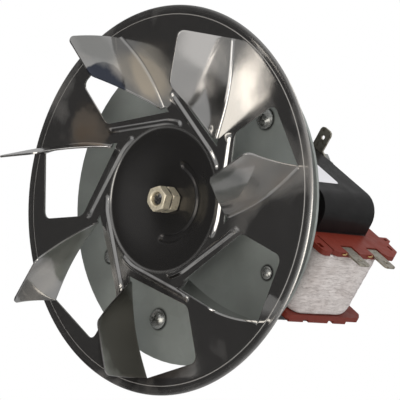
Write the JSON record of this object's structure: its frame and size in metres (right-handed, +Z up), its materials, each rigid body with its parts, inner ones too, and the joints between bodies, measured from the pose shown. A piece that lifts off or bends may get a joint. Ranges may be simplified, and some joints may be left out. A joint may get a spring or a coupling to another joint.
{
  "type": "oven fan motor",
  "caption": "Convection oven fan motor: one-piece pressed radial fan wheel on the shaft of a C-frame shaded pole motor, with a round mounting plate between them.",
  "frame": {"origin": "where the shaft's axis meets the front face of the round mounting plate", "axes": "+Y along the shaft from the fan wheel to the motor, +Z up as in the picture"},
  "size_m": [0.1502, 0.1153, 0.1502],
  "materials": {
    "polished_steel": "bright polished pressed sheet",
    "galvanised_steel": "dull galvanised sheet",
    "bright_zinc_steel": "bright zinc plate",
    "ground_steel": "ground bar",
    "black_varnished_iron": "satin black varnish",
    "cast_aluminium": "as cast",
    "copper": "bright copper wire",
    "sintered_bronze": "oiled sintered bronze",
    "brick_red_nylon": "moulded, satin",
    "winding_tape": "glass tape over enamelled wire",
    "tinned_brass": "tinned"
  },
  "bodies": {
    "motor": {"bobbin": "brick_red_nylon", "coil_core": "black_varnished_iron", "coil_winding": "winding_tape", "earth_tab": "tinned_brass", "frame_nut_1": "bright_zinc_steel", "frame_nut_2": "bright_zinc_steel", "frame_screw_1": "bright_zinc_steel", "frame_screw_2": "bright_zinc_steel", "front_bearing_bridge": "cast_aluminium", "front_bush": "sintered_bronze", "levelling_washer": "bright_zinc_steel", "mounting_plate": "galvanised_steel", "plate_bracket": "galvanised_steel", "plate_nut_1": "bright_zinc_steel", "plate_nut_2": "bright_zinc_steel", "plate_screw_1": "bright_zinc_steel", "plate_screw_2": "bright_zinc_steel", "plate_stud_1": "bright_zinc_steel", "plate_stud_2": "bright_zinc_steel", "plate_stud_3": "bright_zinc_steel", "rear_bearing_bridge": "cast_aluminium", "rear_bush": "sintered_bronze", "shading_ring_1": "copper", "shading_ring_2": "copper", "stator_stack": "black_varnished_iron", "terminal_1": "tinned_brass", "terminal_2": "tinned_brass"},
    "rotor": {"shaft": "ground_steel", "fan_wheel": "polished_steel", "fan_nut": "bright_zinc_steel", "lock_nut": "bright_zinc_steel", "wheel_collar": "bright_zinc_steel", "rotor_pack": "black_varnished_iron", "cage_ring_front": "cast_aluminium", "cage_ring_rear": "cast_aluminium", "thrust_washer_front": "brick_red_nylon", "thrust_washer_rear": "brick_red_nylon"}
  },
  "joints": [
    {"name": "shaft_spin", "type": "hinge", "parent": "motor", "child": "rotor", "pos_m": [0, 0, 0], "axis": [0, 1, 0], "continuous": true}
  ]
}
